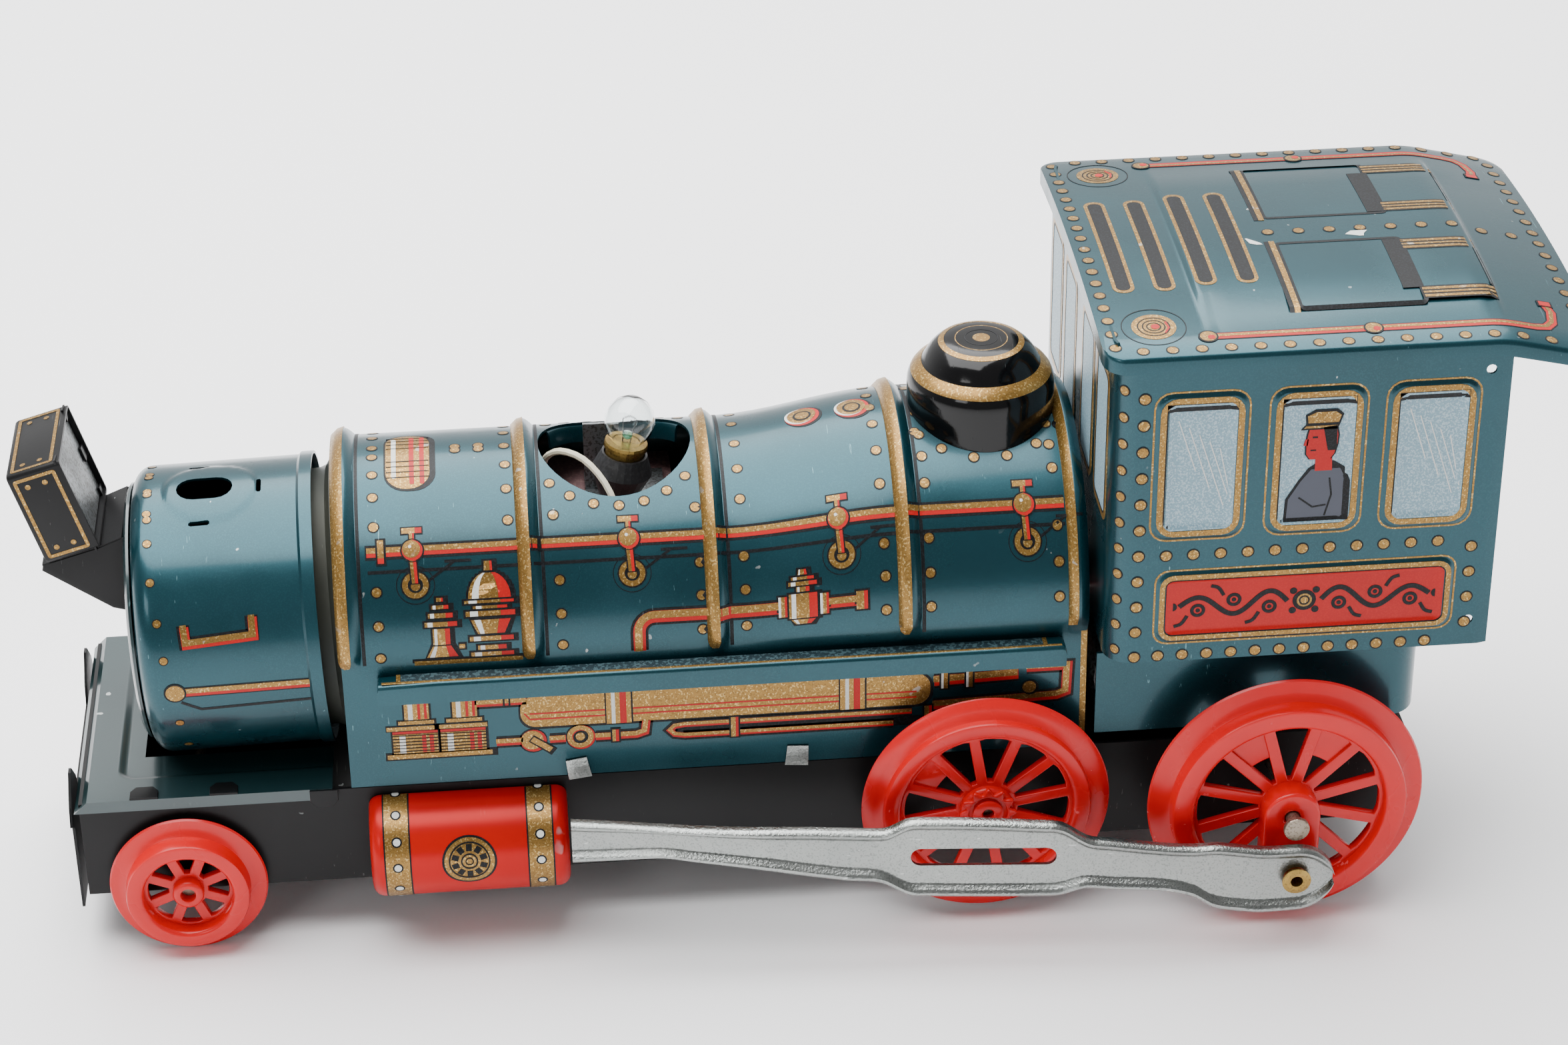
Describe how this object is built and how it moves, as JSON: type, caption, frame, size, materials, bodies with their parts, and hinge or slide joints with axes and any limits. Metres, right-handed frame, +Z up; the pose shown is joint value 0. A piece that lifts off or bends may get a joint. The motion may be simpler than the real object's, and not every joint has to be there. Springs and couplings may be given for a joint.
{
  "type": "tinplate toy locomotive",
  "caption": "Battery-driven tinplate toy steam locomotive with a lithographed boiler and cab, spoked wheels, drive rods, an exposed lamp and a geared motor inside.",
  "frame": {"origin": "on the floor under the middle of the locomotive", "axes": "-X towards the front, the headlamp end; +Y towards the right side; +Z up"},
  "size_m": [0.329, 0.1222, 0.1437],
  "materials": {
    "teal_litho": "glossy metallic lacquer over tinplate",
    "black_paint": "satin black enamel",
    "red_litho": "glossy printed tinplate",
    "red_plastic": "moulded, lightly glossy",
    "bare_steel": "bare pressed steel",
    "brass": "satin",
    "fibre": "matt vulcanised fibre",
    "glass": "clear",
    "ivory_wire": "satin",
    "red_wire": "satin",
    "nylon": "satin",
    "cell_jacket": "satin"
  },
  "bodies": {
    "frame": {"battery_board": "fibre", "battery_cell_front": "cell_jacket", "battery_cell_rear": "cell_jacket", "battery_wall_front": "fibre", "battery_wall_rear": "fibre", "boiler_shell": "teal_litho", "cab_base": "teal_litho", "cab_body": "teal_litho", "cab_roof": "teal_litho", "chassis_frame": "black_paint", "contact_leaf_front": "brass", "contact_leaf_rear": "brass", "cylinder_left": "red_litho", "cylinder_right": "red_litho", "front_deck": "teal_litho", "gearbox_plate_inner": "bare_steel", "gearbox_plate_outer": "bare_steel", "headlamp_back": "black_paint", "headlamp_box": "black_paint", "headlamp_bracket": "black_paint", "lamp_base": "brass", "lamp_bracket": "bare_steel", "lamp_globe": "glass", "lamp_socket": "black_paint", "lamp_wire_red": "red_wire", "lamp_wire_white": "ivory_wire", "motor_can": "bare_steel", "pilot_plate": "black_paint", "running_board_left": "teal_litho", "running_board_right": "teal_litho", "smokebox_door": "teal_litho", "smokebox_drum": "teal_litho", "smokebox_neck": "black_paint", "steam_dome": "black_paint"},
    "front_wheelset": {"front_axle": "bare_steel", "front_wheel_left": "red_plastic", "front_wheel_right": "red_plastic"},
    "middle_wheelset": {"middle_axle": "bare_steel", "middle_wheel_left": "red_plastic", "middle_wheel_right": "red_plastic"},
    "rear_wheelset": {"rear_axle": "bare_steel", "rear_wheel_left": "red_plastic", "rear_wheel_right": "red_plastic", "axle_gear": "nylon", "crank_eyelet_left": "brass", "crank_eyelet_right": "brass"},
    "rod_left": {"connecting_rod_left": "bare_steel"},
    "rod_right": {"connecting_rod_right": "bare_steel"},
    "idler": {"idler_gear": "nylon"},
    "motor_rotor": {"motor_pinion": "brass"},
    "battery_cover": {"battery_door": "black_paint", "contact_strip": "brass"},
    "switch": {"switch_lever": "bare_steel"}
  },
  "joints": [
    {"name": "front_axle_spin", "type": "hinge", "parent": "frame", "child": "front_wheelset", "pos_m": [-0.1336, 0, 0.017], "axis": [0, 1, 0], "continuous": true},
    {"name": "middle_axle_spin", "type": "hinge", "parent": "frame", "child": "middle_wheelset", "pos_m": [0.0395, 0, 0.0294], "axis": [0, 1, 0], "continuous": true},
    {"name": "rear_axle_spin", "type": "hinge", "parent": "frame", "child": "rear_wheelset", "pos_m": [0.1042, 0, 0.0302], "axis": [0, 1, 0], "continuous": true},
    {"name": "rod_left_pin", "type": "hinge", "parent": "rear_wheelset", "child": "rod_left", "pos_m": [0.1042, -0.0594, 0.0188], "axis": [0, 1, 0], "continuous": true},
    {"name": "rod_right_pin", "type": "hinge", "parent": "rear_wheelset", "child": "rod_right", "pos_m": [0.1042, 0.0594, 0.0188], "axis": [0, 1, 0], "continuous": true},
    {"name": "idler_spin", "type": "hinge", "parent": "frame", "child": "idler", "pos_m": [0.08893, -0.015, 0.03732], "axis": [0, 1, 0], "continuous": true},
    {"name": "motor_spin", "type": "hinge", "parent": "frame", "child": "motor_rotor", "pos_m": [0.07663, -0.012, 0.04764], "axis": [0, 1, 0], "continuous": true},
    {"name": "battery_cover_slide", "type": "slide", "parent": "frame", "child": "battery_cover", "axis": [1, 0, 0], "range_m": [0, 0.078]},
    {"name": "switch_slide", "type": "slide", "parent": "frame", "child": "switch", "axis": [0, 1, 0], "range_m": [-0.005, 0.005]}
  ],
  "couplings": [
    {"joint": "rod_left_pin", "follows": "rear_axle_spin", "ratio": -1},
    {"joint": "rod_right_pin", "follows": "rear_axle_spin", "ratio": -1},
    {"joint": "idler_spin", "follows": "rear_axle_spin", "ratio": -3.2},
    {"joint": "motor_spin", "follows": "rear_axle_spin", "ratio": 9.6}
  ]
}
